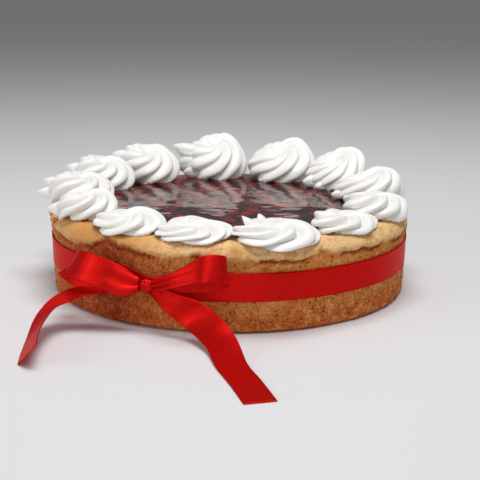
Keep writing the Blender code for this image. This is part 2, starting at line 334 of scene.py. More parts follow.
def make_crust_material():
    material, tree, shader, place = new_material("baked crust")
    dough, crack = attribute(tree, "dough"), attribute(tree, "crack")
    grain = put_grain(tree, place, 560.0)
    height = put(tree, "SeparateXYZ", Vector=place).outputs["Z"]
    # Redder on the left: partly browning, partly painted shade of the bow and red light off the
    # satin.
    redness_and_bow_shade = red_side_and_bow_shade(tree, place)
    low_wall = ranged(tree, height, FOOT_TONE_STARTS, FOOT_TONE_FULL)
    browned = arithmetic(tree, "MULTIPLY", noise_mask(tree, place, 60.0, 0.35, 0.7), 0.5)
    wall = mixed(tree, arithmetic(tree, "MAXIMUM", low_wall, browned), WALL_BROWN, FOOT_BROWN)
    wall = mixed(tree, redness_and_bow_shade, wall, SIDE_RED_AND_BOW_SHADE)
    pale_share = ranged(tree, redness_and_bow_shade, 0.0, REDDEST, 0.72, 0.35)
    pale = arithmetic(tree, "MULTIPLY", grain.outputs["Pale"], pale_share)
    wall = mixed(tree, pale, wall, GRAIN_PALE)
    # Painted shade in the pits between the grains.
    wall = mixed(tree, arithmetic(tree, "MULTIPLY", grain.outputs["Pit"], 0.85), wall, PIT_SHADE)
    patches = arithmetic(tree, "MULTIPLY", noise_mask(tree, place, 90.0, 0.42, 0.75), 0.7)
    smooth = mixed(tree, arithmetic(tree, "MAXIMUM", patches, redness_and_bow_shade), TAN, TAN_BROWNED)
    fleck = noise_mask(tree, place, 340.0, 0.50, 0.70, 2.0)
    smooth = mixed(tree, arithmetic(tree, "MULTIPLY", fleck, 0.6), smooth, TAN_BROWNED)
    colour = mixed(tree, dough, wall, smooth)
    colour = mixed(tree, crack, colour, CRACK_RED)
    grain_share = ranged(tree, dough, 0.0, 1.0, 1.0, 0.7)
    rough_grain = arithmetic(tree, "MULTIPLY", grain.outputs["Height"], grain_share)
    bump = put(tree, "Bump", Strength=0.55, Distance=0.0006, Height=rough_grain)
    tree.links.new(colour, shader.inputs["Base Color"])
    tree.links.new(ranged(tree, dough, 0.0, 1.0, 0.9, 0.7), shader.inputs["Roughness"])
    shader.inputs["Specular IOR Level"].default_value = 0.2
    tree.links.new(bump.outputs["Normal"], shader.inputs["Normal"])
    return material


crust_material = make_crust_material()
print("made", crust_material.name)

# %% [markdown]
# ## The shortcrust case: its shape
#
# The case is round, so it starts as a profile that is spun about the cake's axis. A fine
# profile and many steps leave enough points to move each one along its normal by a
# formula. The formula adds lumps as wide as a finger, sandy crumbs a few millimetres
# wide, a lip where the dough bulges over the wall, and cracks under that lip. Under the
# ribbon the wall is pressed nearly flat.

# %% The case's sizes, from the frame
crust_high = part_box("crust")[1]
WALL_RADIUS = crust_high.x
RIM_HEIGHT = crust_high.z
BASE_RADIUS = WALL_RADIUS - 0.13 * CM
FOOT_RADIUS = WALL_RADIUS - 0.40 * CM
FOOT_HEIGHT = 0.2 * CM
SHOULDER_WIDTH = 1.0 * CM
SHOULDER_HEIGHT = 0.9 * CM
RECESS_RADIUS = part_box("jelly")[1].x + 0.05 * CM
RECESS_DEPTH = 1.05 * CM
print("case:", round(WALL_RADIUS / CM, 2), "cm in radius,", round(RIM_HEIGHT / CM, 2), "cm high")


def wall_radius(height):
    """The wall leans out slightly from its foot to its shoulder."""
    top = RIM_HEIGHT - SHOULDER_HEIGHT
    share = min(max((height - FOOT_HEIGHT) / (top - FOOT_HEIGHT), 0.0), 1.0)
    return BASE_RADIUS + share * (WALL_RADIUS - BASE_RADIUS)


# %% The course of the ribbon round the wall
RIBBON_WIDTH = 1.9 * CM
KNOT_DIRECTION = math.radians(247.4)
GATHER_REACH = 10.0
GATHERED_SHARE = 0.5
band_low, band_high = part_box("ribbon_band")
knot_low, knot_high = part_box("bow_knot")
KNOT_HEIGHT = (knot_low.z + knot_high.z) / 2


def near_knot(angle):
    """1 at the knot, falling to 0 where the band has its full width again."""
    away = abs(math.degrees(math.remainder(angle - KNOT_DIRECTION, math.tau)))
    return 1.0 - smoothstep(0.0, GATHER_REACH, away)


def gathered(height, angle):
    """A height on the band, drawn in towards the knot."""
    share = 1.0 - (1.0 - GATHERED_SHARE) * near_knot(angle)
    return KNOT_HEIGHT + (height - KNOT_HEIGHT) * share


def under_band(angle, height, margin):
    """How far this place on the wall is covered by the band, 0 to 1."""
    low, high = gathered(band_low.z, angle), gathered(band_high.z, angle)
    return smoothstep(low - margin, low, height) * smoothstep(high + margin, high, height)


print("band:", round((band_high.z - band_low.z) / CM, 2), "cm wide")

# %% The case's profile, from the underside's middle to the recess's middle
PROFILE_STEP = 0.085 * CM


def straight(start, end):
    """Evenly spaced points from start up to, but without, end."""
    count = max(1, round(math.dist(start, end) / PROFILE_STEP))
    return [
        tuple(a + (b - a) * index / count for a, b in zip(start, end))
        for index in range(count)
    ]


def crust_profile():
    shoulder_base = RIM_HEIGHT - SHOULDER_HEIGHT
    profile = [(0.0, 0.0)]
    profile += straight((FOOT_RADIUS, 0.0), (BASE_RADIUS, FOOT_HEIGHT))
    profile += straight((BASE_RADIUS, FOOT_HEIGHT), (WALL_RADIUS, shoulder_base))
    shoulder_steps = 16
    for step in range(shoulder_steps):
        angle = math.pi / 2 * step / shoulder_steps
        profile.append((
            WALL_RADIUS - SHOULDER_WIDTH * (1.0 - math.cos(angle)),
            shoulder_base + SHOULDER_HEIGHT * math.sin(angle),
        ))
    profile += straight((WALL_RADIUS - SHOULDER_WIDTH, RIM_HEIGHT), (RECESS_RADIUS, RIM_HEIGHT))
    floor = RIM_HEIGHT - RECESS_DEPTH
    profile += [(RECESS_RADIUS, RIM_HEIGHT), (RECESS_RADIUS, floor), (0.0, floor)]
    return profile


# %% Where the smooth dough starts
# Where the dough tore on its way up: direction and width in degrees, rise in centimetres.
TORN = (
    (231.0, 3.5, 0.40),
    (241.0, 6.0, 0.42),
    (262.0, 3.0, 0.25),
    (297.0, 3.0, 0.25),
    (120.0, 5.0, 0.40),
)
# The usual height of the dough's lower edge, in centimetres.
DOUGH_STARTS = 4.80


def dough_edge(angle):
    """The height at which the sandy wall ends; it wanders round the cake."""
    ring = polar(1.0, angle, 0.0)
    wander = 0.32 * noise.noise(ring * 3.1) + 0.16 * noise.noise(ring * 8.0)
    degrees = math.degrees(angle) % 360.0
    wander += sum(rise * bell(degrees, middle, width) for middle, width, rise in TORN)
    return (DOUGH_STARTS + wander + 0.09 * noise.noise(ring * 23.0)) * CM


print("dough starts in front at", round(dough_edge(-math.pi / 2) / CM, 2), "cm")

# %% The relief of the surface
# The relief's sizes across, and its heights and depths.
CRUMB_SIZE, CRUMB_HEIGHT = 0.26 * CM, 0.065 * CM
PIT_SIZE, PIT_DEPTH = 0.33 * CM, 0.05 * CM
LIP_HEIGHT = 0.075 * CM
CRACK_DEPTH = 0.14 * CM
# Where the cracks gape widest: direction and width in degrees.
GAPING = (237.0, 8.0)
# The share of the crumbs' relief that the dough still shows.
DOUGH_CRUMBS = 0.42
# Shifts that keep the pits and the cracks apart from the other noises.
PIT_SHIFT, SPLIT_SHIFT = Vector((7, 3, 1)), Vector((2, 5, 9))


def bumps(co, size, height):
    """Smooth bumps of about this size across and this height, both in centimetres."""
    return height * CM * noise.noise(co / (size * CM))


def relief(co, angle):
    """How far the surface stands out at this point, and its dough and crack masks."""
    height = co.z
    edge = dough_edge(angle)
    wobble = bumps(co, 0.5, 0.10) + bumps(co, 0.22, 0.14)
    dough = smoothstep(edge - 0.07 * CM, edge + 0.22 * CM, height + wobble)
    lumps = bumps(co, 1.9, 0.055) + bumps(co, 0.9, 0.03)
    crumbs = CRUMB_HEIGHT * noise.fractal(co / CRUMB_SIZE, 0.8, 2.0, 3)
    pits = -PIT_DEPTH * smoothstep(0.18, 0.55, noise.noise(co / PIT_SIZE + PIT_SHIFT))
    lip = LIP_HEIGHT * bell(height, edge + 0.28 * CM, 0.22 * CM)
    split = smoothstep(-0.22, 0.12, noise.noise(polar(1.0, angle, 0.0) * 5.3 + SPLIT_SHIFT))
    crack = split * bell(height + wobble, edge - 0.07 * CM, 0.11 * CM)
    gaping = bell(math.degrees(angle) % 360.0, *GAPING)
    crack = max(crack, gaping * bell(height + wobble, edge - 0.10 * CM, 0.20 * CM))
    sandy = (1.0 - dough) * (crumbs + pits)
    out = lumps + lip - CRACK_DEPTH * crack + sandy + dough * crumbs * DOUGH_CRUMBS
    return out, dough, crack


# %% Spin the case and move its points
COLUMNS = 840
# How much calmer the surface is under the band and on the rim, as shares.
BAND_CALM, RIM_CALM = 0.85, 0.6
# How far the band presses the wall in, in centimetres.
PRESSED_IN = 0.03


def make_crust():
    bm = spun(crust_profile(), COLUMNS)
    bm.normal_update()
    dough_layer = bm.verts.layers.float.new("dough")
    crack_layer = bm.verts.layers.float.new("crack")
    for vert in bm.verts:
        co = vert.co.copy()
        radius = math.hypot(co.x, co.y)
        if radius < RECESS_RADIUS + 0.02 * CM:
            continue
        angle = math.atan2(co.y, co.x)
        out, dough, crack = relief(co, angle)
        pressed = under_band(angle, co.z, 0.1 * CM)
        free = smoothstep(0.0, FOOT_HEIGHT, co.z) * (1.0 - BAND_CALM * pressed)
        shoulder_edge = WALL_RADIUS - SHOULDER_WIDTH
        on_rim = smoothstep(shoulder_edge, shoulder_edge - 0.6 * CM, radius)
        vert[dough_layer], vert[crack_layer] = dough, crack
        vert.co = co + vert.normal * out * free * (1.0 - RIM_CALM * on_rim)
        vert.co -= vert.normal * PRESSED_IN * CM * pressed
    piece = add_piece("shortcrust_case", bm, crust_material, ["crust"])
    print("case:", triangles(piece), "triangles")


make_crust()

# %% [markdown]
# ## Loose crumbs on the wall
#
# Relief alone can't stand free of the surface, so the wall also gets real crumbs. They
# are tiny uneven lumps, each an icosphere of twenty faces that is stretched and turned
# at random, and they all go into one mesh. A few larger bits of dough stick out over the
# wall on the left.

# %% Material: crumbs
def make_crumb_material():
    material, tree, shader, place = new_material("crumb")
    light = noise_mask(tree, place, 500.0, 0.35, 0.65)
    colour = mixed(tree, light, WALL_BROWN, GRAIN_PALE)
    # Redder on the left behind the bow: partly browning, partly painted bow shade and red bounce
    # light.
    colour = mixed(tree, arithmetic(tree, "MULTIPLY", red_side_and_bow_shade(tree, place), 0.7), colour, SIDE_RED_AND_BOW_SHADE)
    grain = put_grain(tree, place, 1500.0)
    bump = put(tree, "Bump", Strength=0.4, Distance=0.0003, Height=grain.outputs["Height"])
    tree.links.new(colour, shader.inputs["Base Color"])
    tree.links.new(bump.outputs["Normal"], shader.inputs["Normal"])
    shader.inputs["Roughness"].default_value = 0.85
    shader.inputs["Specular IOR Level"].default_value = 0.2
    return material


crumb_material = make_crumb_material()
print("made", crumb_material.name)

# %% Scatter the crumbs
CRUMBS = 2600
DOUGH_BITS = 26
CRUMB_SEED = 5


def add_crumb(bm, place, size, randoms):
    stretch = [size * randoms.uniform(0.6, 1.2) for _ in range(3)]
    spin = Matrix.Rotation(randoms.uniform(0, math.tau), 4, Vector((
        randoms.uniform(-1, 1), randoms.uniform(-1, 1), randoms.uniform(0.2, 1),
    )))
    matrix = Matrix.Translation(place) @ spin @ Matrix.Diagonal((*stretch, 1.0))
    bmesh.ops.create_icosphere(bm, subdivisions=1, radius=1.0, matrix=matrix)


def make_crumbs():
    randoms = random.Random(CRUMB_SEED)
    bm = bmesh.new()
    placed = 0
    while placed < CRUMBS:
        angle = randoms.uniform(-math.pi, math.pi)
        height = randoms.uniform(0.25 * CM, dough_edge(angle) - 0.02 * CM)
        if under_band(angle, height, 0.06 * CM) > 0.3:
            continue
        start = polar(wall_radius(height), angle, height)
        if noise.noise(start / (1.4 * CM)) < randoms.uniform(-0.35, 0.35):
            continue
        place = polar(wall_radius(height) + relief(start, angle)[0], angle, height)
        add_crumb(bm, place, randoms.uniform(0.025, 0.06) * CM, randoms)
        placed += 1
    for _ in range(DOUGH_BITS):
        angle = math.radians(randoms.uniform(176, 200))
        radius = WALL_RADIUS + randoms.uniform(-0.12, 0.06) * CM
        place = polar(radius, angle, randoms.uniform(4.9, 5.5) * CM)
        add_crumb(bm, place, randoms.uniform(0.10, 0.24) * CM, randoms)
    piece = add_piece("crumbs", bm, crumb_material)
    print("crumbs:", placed, "with", triangles(piece), "triangles")


make_crumbs()

# %% [markdown]
# ## The fruit jelly
#
# The filling is fruit under a clear red jelly. The jelly is a real clear body here: light
# goes into it, is filtered red on its way, and shows the berries that are sunk in it.
# Its top isn't quite flat. It swells over each berry, and this makes the reflections of
# the cream in it wavy. So the berries' places are settled first, and the jelly's surface
# is worked out from them.

# %% Lay out the fruit
jelly_low, jelly_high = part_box("jelly")
JELLY_RADIUS = jelly_high.x
JELLY_LEVEL = jelly_high.z
SPILL_RADIUS = JELLY_RADIUS + 0.12 * CM
FAR_SPILL = 12.1 * CM
FRUIT_REACH = 9.8 * CM
FRUIT_TRIES = 9000
PACKING = 0.85
LAYOUT_SEED = 11


def lay_out_fruit():
    """Berries dropped at random, kept when they lie clear of those before them."""
    randoms = random.Random(LAYOUT_SEED)
    fruit = []
    for _ in range(FRUIT_TRIES):
        distance = FRUIT_REACH * math.sqrt(randoms.random())
        place = polar(distance, randoms.uniform(0, math.tau), 0.0)
        dark = randoms.random() < 0.5
        size = randoms.uniform(0.68, 0.92) * CM if dark else randoms.uniform(0.42, 0.60) * CM
        if all((place - other).length > PACKING * (size + near) for other, near, _, _ in fruit):
            sunk = randoms.uniform(0.02, 0.18) * CM
            fruit.append((place, size, sunk, dark))
    return fruit


fruit = lay_out_fruit()
print("fruit:", len(fruit), "berries")

# %% Materials: jelly and fruit
def make_jelly_material():
    material, tree, shader, place = new_material("red jelly")
    shader.inputs["Base Color"].default_value = rgb(0.85, 0.30, 0.30)
    shader.inputs["Roughness"].default_value = 0.03
    shader.inputs["IOR"].default_value = 1.28
    shader.inputs["Transmission Weight"].default_value = 1.0
    stretched = put(tree, "Mapping", Vector=place, Scale=(0.35, 1.0, 1.0))
    ripple = put(tree, "TexNoise", Vector=stretched.outputs["Vector"], Scale=150.0, Detail=1.0)
    bump = put(tree, "Bump", Strength=0.10, Distance=0.0010, Height=ripple.outputs["Fac"])
    tree.links.new(bump.outputs["Normal"], shader.inputs["Normal"])
    absorption = put(tree, "VolumeAbsorption")
    absorption.inputs["Color"].default_value = rgb(0.80, 0.05, 0.09)
    absorption.inputs["Density"].default_value = 170.0
    output = tree.nodes["Material Output"]
    tree.links.new(absorption.outputs["Volume"], output.inputs["Volume"])
    return material


def make_fruit_material(name, colour, shade):
    material, tree, shader, place = new_material(name)
    shaded = mixed(tree, noise_mask(tree, place, 260.0, 0.35, 0.65), colour, shade)
    tree.links.new(shaded, shader.inputs["Base Color"])
    skin = put(tree, "TexVoronoi", Vector=place, Scale=520.0)
    bump = put(tree, "Bump", Strength=0.35, Distance=0.0005, Height=skin.outputs["Distance"])
    tree.links.new(bump.outputs["Normal"], shader.inputs["Normal"])
    shader.inputs["Roughness"].default_value = 0.6
    return material


jelly_material = make_jelly_material()
dark_fruit_material = make_fruit_material(
    "dark fruit", rgb(0.06, 0.007, 0.013), rgb(0.15, 0.015, 0.026),
)
red_fruit_material = make_fruit_material(
    "red fruit", rgb(0.60, 0.055, 0.085), rgb(0.34, 0.02, 0.04),
)
for material in (jelly_material, dark_fruit_material, red_fruit_material):
    print("made", material.name)


# %% Model the berries
FRUIT_FLATNESS = 0.62
FRUIT_SEED = 23


def make_fruit(name, dark, material):
    bm = bmesh.new()
    randoms = random.Random(FRUIT_SEED)
    for place, size, sunk, is_dark in fruit:
        if is_dark != dark:
            continue
        centre = Vector((place.x, place.y, JELLY_LEVEL - sunk - size * FRUIT_FLATNESS))
        breadth = size * randoms.uniform(0.85, 1.0)
        flat = Matrix.Diagonal((size, breadth, size * FRUIT_FLATNESS, 1.0))
        spin = Matrix.Rotation(randoms.uniform(0, math.tau), 4, "Z")
        made = bmesh.ops.create_icosphere(
            bm, subdivisions=3, radius=1.0, matrix=Matrix.Translation(centre) @ spin @ flat,
        )
        for vert in made["verts"]:
            swell = 1.0 + 0.10 * noise.noise(vert.co / (0.4 * CM))
            vert.co = centre + (vert.co - centre) * swell
    piece = add_piece(name, bm, material)
    print(name, triangles(piece), "triangles")


make_fruit("sunk_dark_fruit", True, dark_fruit_material)
make_fruit("sunk_red_fruit", False, red_fruit_material)


# %% Pour the jelly
JELLY_RINGS = 110
JELLY_STEPS = 300
CALM_EDGE = 1.0 * CM


def jelly_swell(x, y):
    """How far the jelly's top stands over its level here."""
    height = 0.0
    for place, size, sunk, _ in fruit:
        across = ((x - place.x) ** 2 + (y - place.y) ** 2) / (size * size)
        if across < 6.0:
            height += (0.024 * CM - 0.1 * sunk) * math.exp(-across * 0.9)
    return height + 0.022 * CM * noise.noise(Vector((x, y, 0)) / (2.2 * CM))


def jelly_profile(level):
    """From the middle of the jelly's floor up, over the rim and back to its middle."""
    floor, on_rim = jelly_low.z, RIM_HEIGHT + 0.01 * CM
    top = [(SPILL_RADIUS * (1.0 - index / JELLY_RINGS), level) for index in range(JELLY_RINGS)]
    side = [(JELLY_RADIUS, floor), (JELLY_RADIUS, on_rim), (SPILL_RADIUS, on_rim)]
    return [(0.0, floor), *side, *top, (0.0, level)]


def make_jelly():
    level = RIM_HEIGHT + 0.05 * CM
    bm = spun(jelly_profile(level), JELLY_STEPS)
    for vert in bm.verts:
        radius = math.hypot(vert.co.x, vert.co.y)
        if vert.co.z > level - 0.01 * CM:
            inside = smoothstep(SPILL_RADIUS, SPILL_RADIUS - CALM_EDGE, radius)
            vert.co.z += jelly_swell(vert.co.x, vert.co.y) * inside
        if radius > JELLY_RADIUS + 0.01 * CM:
            # It ran out furthest over the rim at the back.
            at_back = max(0.0, vert.co.y / radius) ** 2
            over_rim = (radius - JELLY_RADIUS) / (SPILL_RADIUS - JELLY_RADIUS)
            vert.co.xy *= 1.0 + (FAR_SPILL / SPILL_RADIUS - 1.0) * at_back * over_rim
    piece = add_piece("fruit_jelly", bm, jelly_material, ["jelly"])
    print("jelly:", triangles(piece), "triangles")


make_jelly()

# %% [markdown]
# ## The cream
#
# Whipped cream is white, soft and slightly see-through, so that light creeps round its
# ridges and the valleys look warm instead of grey. Subsurface scattering does the first,
# and a warm painted shade in the valleys, found by the mesh's pointiness, helps with the
# second.

# %% Material: whipped cream
CREAM = rgb(0.86, 0.850, 0.822)
CREAM_SHADE = rgb(0.88, 0.83, 0.73)


def make_cream_material():
    material, tree, shader, place = new_material("whipped cream")
    # Painted warm shade in the valleys, standing for light that crept through the cream.
    valley = ranged(tree, put(tree, "NewGeometry").outputs["Pointiness"], 0.49, 0.43)
    tree.links.new(mixed(tree, valley, CREAM, CREAM_SHADE), shader.inputs["Base Color"])
    shader.inputs["Roughness"].default_value = 0.42
    shader.inputs["Subsurface Weight"].default_value = 0.25
    shader.inputs["Subsurface Radius"].default_value = (1.0, 0.85, 0.6)
    shader.inputs["Subsurface Scale"].default_value = 0.002
    froth = put(tree, "TexNoise", Vector=place, Scale=900.0, Detail=3.0)
    bump = put(tree, "Bump", Strength=0.08, Distance=0.0006, Height=froth.outputs["Fac"])
    tree.links.new(bump.outputs["Normal"], shader.inputs["Normal"])
    return material


cream_material = make_cream_material()
print("made", cream_material.name)

# %% [markdown]
# ### One rosette
#
# A rosette is piped with one squeeze and a twist of a star nozzle. Seen from above, its
# ridges are arms that run clockwise from the middle outwards. Cut through, it is a fat
# ring whose hole has closed to a dimple. So a point's place follows from two numbers:
# its share of the way from the dimple over the ring to the foot, and its arm's angle.
# Between two valleys the ridge is broad and round, as the nozzle's teeth leave it. On
# the calm side, where the nozzle came round last, the cream is almost smooth.

# %% The shape of a rosette
STEPS_PER_ARM = 20
RINGS = 84
FOOT_RINGS = 4
RING_CENTRE = 0.45
RING_MIDDLE_HEIGHT = 0.42
SECTION_START = math.acos(-RING_CENTRE / (1.0 - RING_CENTRE))
SECTION_END = math.radians(-47.0)
CALM_SIDE = math.radians(125.0)
SNAIL_STEP = 0.16
SNAIL_TURN, SNAIL_DROP = 0.95, 0.05
LIP_STARTS, LIP_ENDS = 12.1 * CM, 13.8 * CM
LIP_DROP = 0.32 * CM
UNEVEN = 0.07
RAGGED = 0.10 * CM
CREAM_REST = RIM_HEIGHT + 0.02 * CM


def cream_foot(radius):
    """The height of the cream's underside at this distance from the cake's axis."""
    return CREAM_REST - LIP_DROP * smoothstep(LIP_STARTS, LIP_ENDS, radius)


def snail(arm, seam):
    """From 0 just after the seam round to 1 just before it, where it drops back quickly."""
    step = ((arm - seam) / math.tau) % 1.0
    return step / SNAIL_TURN if step < SNAIL_TURN else (1.0 - step) / SNAIL_DROP


def ridge_shape(phase):
    """A broad ridge that rises gently and drops steeply into the next valley."""
    return 1.0 - abs(2.0 * phase ** 1.5 - 1.0) ** 2.4


def rosette_point(share, around, reach, height, piping, strengths):
    """A point measured from the foot of the rosette's axis."""
    section = SECTION_START + (SECTION_END - SECTION_START) * share
    sweep = math.radians(piping["inner"]) * share ** 0.5
    sweep += math.radians(piping["outer"]) * share ** 2
    arm = around + sweep
    place = (piping["arms"] * arm / math.tau) % piping["arms"]
    number = min(int(place), piping["arms"] - 1)
    tooth = ridge_shape(place - number)
    fading = smoothstep(0.02, 0.40, share)
    calm = 1.0 - 0.85 * max(0.0, math.cos(around - CALM_SIDE)) * smoothstep(1.05, 0.9, share)
    ridge = reach * piping["ridge"] * fading * calm * (strengths[number] * tooth - 0.65)
    swollen = 1.0 + SNAIL_STEP * fading * (snail(arm, math.radians(piping["seam"])) - 0.6)
    thick = reach * (1.0 - RING_CENTRE) * swollen + ridge
    tall = height * (1.0 - RING_MIDDLE_HEIGHT) * swollen + ridge
    out = reach * RING_CENTRE + thick * math.cos(section)
    out += calm * reach * 0.12 * strengths[number] * (tooth - 0.6) * smoothstep(0.72, 1.0, share)
    up = height * RING_MIDDLE_HEIGHT + tall * math.sin(section)
    return polar(out, around, up)


# %% The shape of a petal, left where the nozzle was pulled away
def add_petal(bm, base, direction, size, rise, taper):
    length, width, height = size
    ahead = polar(1.0, direction, 0.0)
    aside = polar(1.0, direction + math.pi / 2, 0.0)
    fullest = 0.8 / (0.8 + taper)
    made = bmesh.ops.create_uvsphere(bm, u_segments=40, v_segments=24, radius=1.0)
    for vert in made["verts"]:
        along = (vert.co.z + 1.0) / 2.0
        around = math.atan2(vert.co.y, vert.co.x)
        girth = (along / fullest) ** 0.8 * ((1.0 - along) / (1.0 - fullest)) ** taper
        girth *= 0.88 + 0.16 * abs(math.cos(1.5 * around + 1.2 * along + 0.5))
        up = height / 2 * girth * math.sin(around) + rise * along * along
        vert.co = base + ahead * (length * along) + aside * (width / 2 * girth * math.cos(around))
        vert.co.z += up


# %% [markdown]
# ### The thirteen rosettes
#
# Every rosette was piped by hand, so no two are alike. Their sizes and places come from
# the frame. The list gives what the frame doesn't hold:
#
# - **arms**: how many ridges there are
# - **seam**: the direction in degrees where the cream ends on its own start
# - **inner, outer**: how far the arms wind near the middle and near the foot, in degrees
# - **ridge**: how deep the ridges are, as a share of the rosette's reach
# - **lean**: how strongly it leans in towards the jelly, or outwards if below zero
# - **size**: the dome's share of the whole rosette, as the petals take up the rest
# - **shift**: how far the dome sits to the right, in centimetres
# - **depth**: its size from the rim inwards, as a share of its width
# - **tall**: its height without the ridges, as a share of the whole
#
# The petals have a list of their own: direction, start as a share of the rosette's reach,
# then length, width, height, lift and rise in centimetres, and how pointed the petal is.

# %% How each rosette was piped
PIPING_NAMES = ("arms", "seam", "inner", "outer", "ridge", "lean", "size", "shift", "depth", "tall")
PIPING = [
    dict(zip(PIPING_NAMES, row)) for row in (
        (9, 200, 185, 25, 0.15, 0.40, 0.90, -0.25, 1.0, 0.92),
        (8, 190, 185, 20, 0.16, 0.36, 0.91, -0.25, 1.0, 0.86),
        (8, 195, 185, 15, 0.16, 0.42, 0.76, 0.42, 1.0, 0.95),
        (8, 200, 185, 25, 0.15, 0.40, 0.85, 0.12, 1.0, 0.95),
        (8, 180, 175, 30, 0.15, 0.30, 0.87, 0.05, 1.0, 0.94),
        (8, 170, 165, 35, 0.16, 0.15, 0.90, 0.20, 0.95, 0.94),
        (7, 200, 150, 45, 0.19, -0.10, 0.98, 0.00, 0.85, 0.88),
        (6, 230, 135, 45, 0.22, -0.20, 1.02, 0.00, 0.80, 0.70),
        (7, 250, 130, 50, 0.22, -0.28, 1.03, 0.00, 0.78, 0.68),
        (7, 260, 130, 50, 0.22, -0.28, 1.02, 0.00, 0.80, 0.68),
        (6, 290, 130, 50, 0.22, -0.22, 1.05, 0.10, 0.78, 0.70),
        (7, 320, 150, 40, 0.18, 0.00, 0.95, 0.00, 0.88, 0.86),
        (8, 200, 165, 35, 0.16, 0.25, 0.90, -0.20, 1.0, 0.90),
    )
]
PETALS = {
    2: ((180, 0.20, 3.0, 1.9, 1.5, 1.70, 0.8, 0.9), (188, 0.20, 2.75, 1.9, 1.7, 1.05, -0.05, 0.7),
        (206, 0.25, 2.2, 1.5, 1.2, 0.45, 0.0, 0.8)),
    3: ((168, 0.30, 2.3, 1.5, 1.4, 1.50, 0.45, 0.9), (205, 0.30, 2.0, 1.5, 1.3, 0.7, 0.0, 0.7)),
    4: ((165, 0.40, 2.1, 1.4, 1.1, 1.15, 0.35, 1.0), (190, 0.40, 2.1, 1.4, 1.1, 0.6, 0.1, 0.9)),
    5: ((160, 0.40, 2.1, 1.3, 1.0, 1.0, 0.3, 1.0), (182, 0.40, 2.2, 1.3, 1.0, 0.5, 0.1, 1.0)),
    6: ((185, 0.40, 1.8, 1.3, 1.0, 0.45, 0.0, 1.0),),
    9: ((150, 0.45, 1.2, 0.9, 0.60, 0.55, 0.60, 1.0), (115, 0.45, 1.1, 0.8, 0.55, 0.50, 0.60, 0.9),
        (78, 0.50, 0.9, 0.9, 0.50, 0.45, 0.30, 0.7)),
    0: ((205, 0.45, 1.7, 1.1, 1.0, 0.5, 0.0, 0.8), (235, 0.50, 1.4, 1.0, 0.8, 0.3, 0.0, 0.8)),
    12: ((200, 0.50, 1.6, 1.0, 0.8, 0.4, 0.0, 0.8), (228, 0.50, 1.5, 1.0, 0.8, 0.3, 0.0, 0.8)),
}


# %% Pipe the rosettes
ROSETTE_SEED = 31


def make_rosette(index):
    name = f"rosette_{index + 1:02d}"
    piping = PIPING[index]
    randoms = random.Random(ROSETTE_SEED + index)
    strengths = [randoms.uniform(0.72, 1.25) for _ in range(piping["arms"])]
    low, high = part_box(name)
    centre = Vector(((low.x + high.x) / 2 + piping["shift"] * CM, (low.y + high.y) / 2, 0.0))
    whole = math.hypot(high.x - low.x, high.y - low.y) / 2 / math.hypot(1.0, piping["depth"])
    reach = whole * piping["size"]
    height = (high.z - RIM_HEIGHT) * piping["tall"] / (1.0 + 0.5 * abs(piping["lean"]))
    outwards = centre.normalized()
    bm = bmesh.new()
    bmesh.ops.create_uvsphere(
        bm, u_segments=piping["arms"] * STEPS_PER_ARM, v_segments=RINGS + FOOT_RINGS, radius=1.0,
    )
    for vert in bm.verts:
        ring = math.acos(max(-1.0, min(1.0, vert.co.z))) / math.pi * (RINGS + FOOT_RINGS)
        share = min(ring / RINGS, 1.0)
        around = math.atan2(vert.co.y, vert.co.x)
        point = rosette_point(share, around, reach, height, piping, strengths)
        if ring > RINGS + 0.5:
            point *= 1.0 - (ring - RINGS) / FOOT_RINGS
            point.z = 0.0
        point.z *= 1.0 + piping["lean"] * point.dot(outwards) / reach
        point += outwards * (point.dot(outwards) * (piping["depth"] - 1.0))
        point += UNEVEN * reach * smoothstep(0.0, 0.5, share) * drift((centre + point) / (2.1 * CM))
        place = centre + point
        foot = cream_foot(math.hypot(place.x, place.y))
        sag = (CREAM_REST - foot) * (1.0 - min(max(point.z / height, 0.0), 1.0))
        ragged = drift(place / (0.18 * CM)) * (RAGGED * smoothstep(0.78, 0.97, share))
        place = place + ragged
        place.z = max(CREAM_REST + point.z - sag + ragged.z, foot)
        vert.co = place
    for degrees, start, length, width, tall, lift, rise, taper in PETALS.get(index, ()):
        base = centre + polar(whole * start, math.radians(degrees), CREAM_REST + lift * CM)
        size = (length * CM, width * CM, tall * CM)
        add_petal(bm, base, math.radians(degrees), size, rise * CM, taper)
    return add_piece(name + "_cream", bm, cream_material, [name])


rosettes = [make_rosette(index) for index in range(len(PIPING))]
print("rosettes:", sum(triangles(piece) for piece in rosettes), "triangles in all")

# %% [markdown]
# ## The satin ribbon
#
# One length of red satin ribbon goes round the cake and is tied in a bow. Satin's threads
# float on one side, so it shines softly, and a highlight is drawn out across the ribbon.
# Along both edges runs a narrow woven selvedge. The UV map of each ribbon piece holds
# centimetres along it and across it, so that the weave and the selvedge keep their real
# size on every piece. It also gives the direction in which the highlights are drawn out.

# %% Material: satin
RIBBON_THICKNESS = 0.05 * CM
SATIN_RED = rgb(0.68, 0.010, 0.008)
SATIN_DEEP = rgb(0.54, 0.004, 0.004)
# Where the selvedge starts and is full, in centimetres from the ribbon's middle.
SELVEDGE = (0.84, 0.90)


